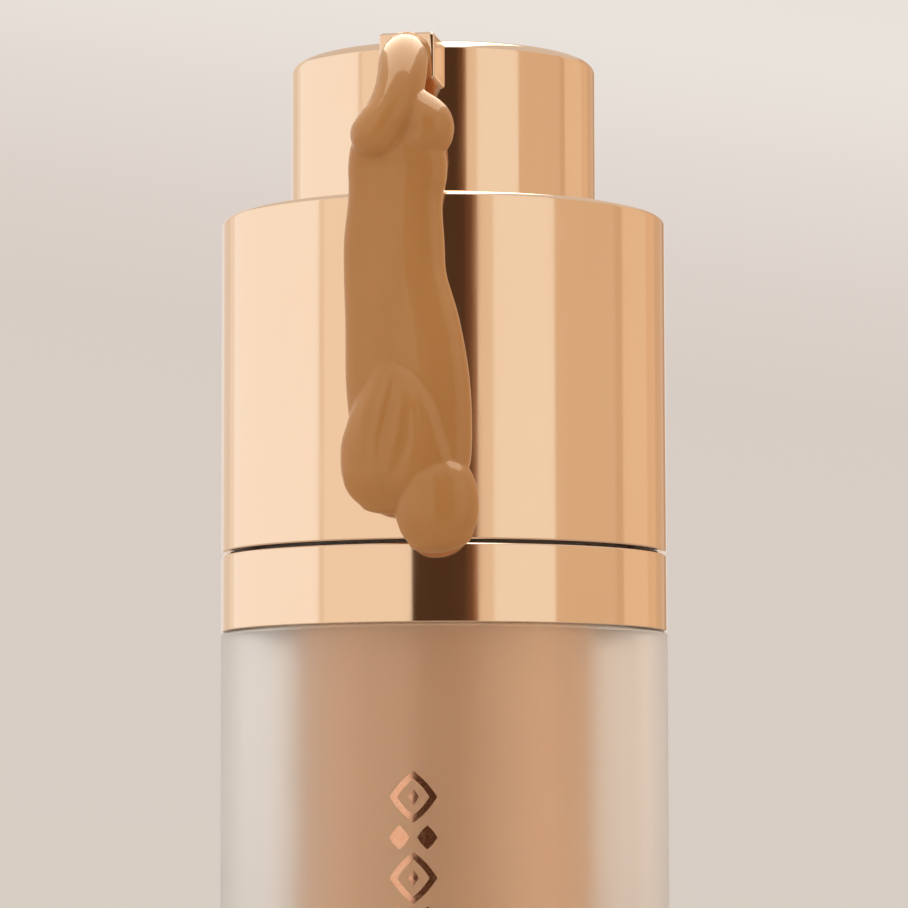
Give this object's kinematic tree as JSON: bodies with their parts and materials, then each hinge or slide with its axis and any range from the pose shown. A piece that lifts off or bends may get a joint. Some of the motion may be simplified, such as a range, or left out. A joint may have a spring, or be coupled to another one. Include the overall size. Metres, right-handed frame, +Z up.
{
  "type": "twist-up airless foundation bottle",
  "caption": "Frosted cylindrical airless foundation bottle: a metal collar twists the button, pump and inner cup up, and foundation hangs from the spout.",
  "frame": {"origin": "centre of the flat base, on the surface the bottle stands on", "axes": "+Z up along the bottle's axis; the spout points along -Y"},
  "size_m": [0.037, 0.0419, 0.1256],
  "materials": {
    "rose_gold": "rose gold anodised, polished",
    "frosted_acrylic": "frosted, translucent",
    "cup_plastic": "translucent polypropylene",
    "foundation": "glossy liquid foundation",
    "white_plastic": "moulded",
    "natural_plastic": "moulded, natural",
    "steel": "stainless",
    "rubber": "soft"
  },
  "bodies": {
    "bottle": {"outer_bottle": "frosted_acrylic", "lower_ring": "rose_gold", "guide_sleeve": "white_plastic"},
    "collar": {"twist_collar": "rose_gold", "cam_sleeve": "white_plastic"},
    "lift": {"lift_sleeve": "white_plastic", "inner_cup": "cup_plastic", "cup_plug": "natural_plastic", "foundation_fill": "foundation", "cup_gasket": "rubber", "pump_housing": "natural_plastic", "stem_bush": "white_plastic", "pump_spring": "steel"},
    "button": {"button_cap": "rose_gold", "nozzle": "rose_gold", "button_core": "white_plastic", "pump_stem": "white_plastic", "piston_rod": "white_plastic", "dispensed_foundation": "foundation"},
    "seal": {"piston_seal": "natural_plastic"},
    "ball": {"inlet_ball": "steel"},
    "follower": {"follower_piston": "natural_plastic"}
  },
  "joints": [
    {"name": "collar_twist", "type": "hinge", "parent": "bottle", "child": "collar", "pos_m": [0, 0, 0.0845], "axis": [0, 0, 1], "range_deg": [0, 90]},
    {"name": "pump_lift", "type": "slide", "parent": "bottle", "child": "lift", "axis": [0, 0, 1], "range_m": [-0.0128, 0], "deforming": ["dispensed_foundation"]},
    {"name": "button_press", "type": "slide", "parent": "lift", "child": "button", "axis": [0, 0, -1], "range_m": [0, 0.0032], "stiffness_N_per_m": 1200, "springref_m": -0.004, "deforming": ["pump_spring"]},
    {"name": "seal_slip", "type": "slide", "parent": "button", "child": "seal", "axis": [0, 0, 1], "range_m": [0, 0.0007]},
    {"name": "ball_rise", "type": "slide", "parent": "lift", "child": "ball", "axis": [0, 0, 1], "range_m": [0, 0.0008]},
    {"name": "follower_rise", "type": "slide", "parent": "lift", "child": "follower", "axis": [0, 0, 1], "range_m": [0, 0.0535], "deforming": ["foundation_fill"]}
  ],
  "couplings": [
    {"joint": "collar_twist", "follows": "pump_lift", "rad_per_m": -122.7}
  ]
}
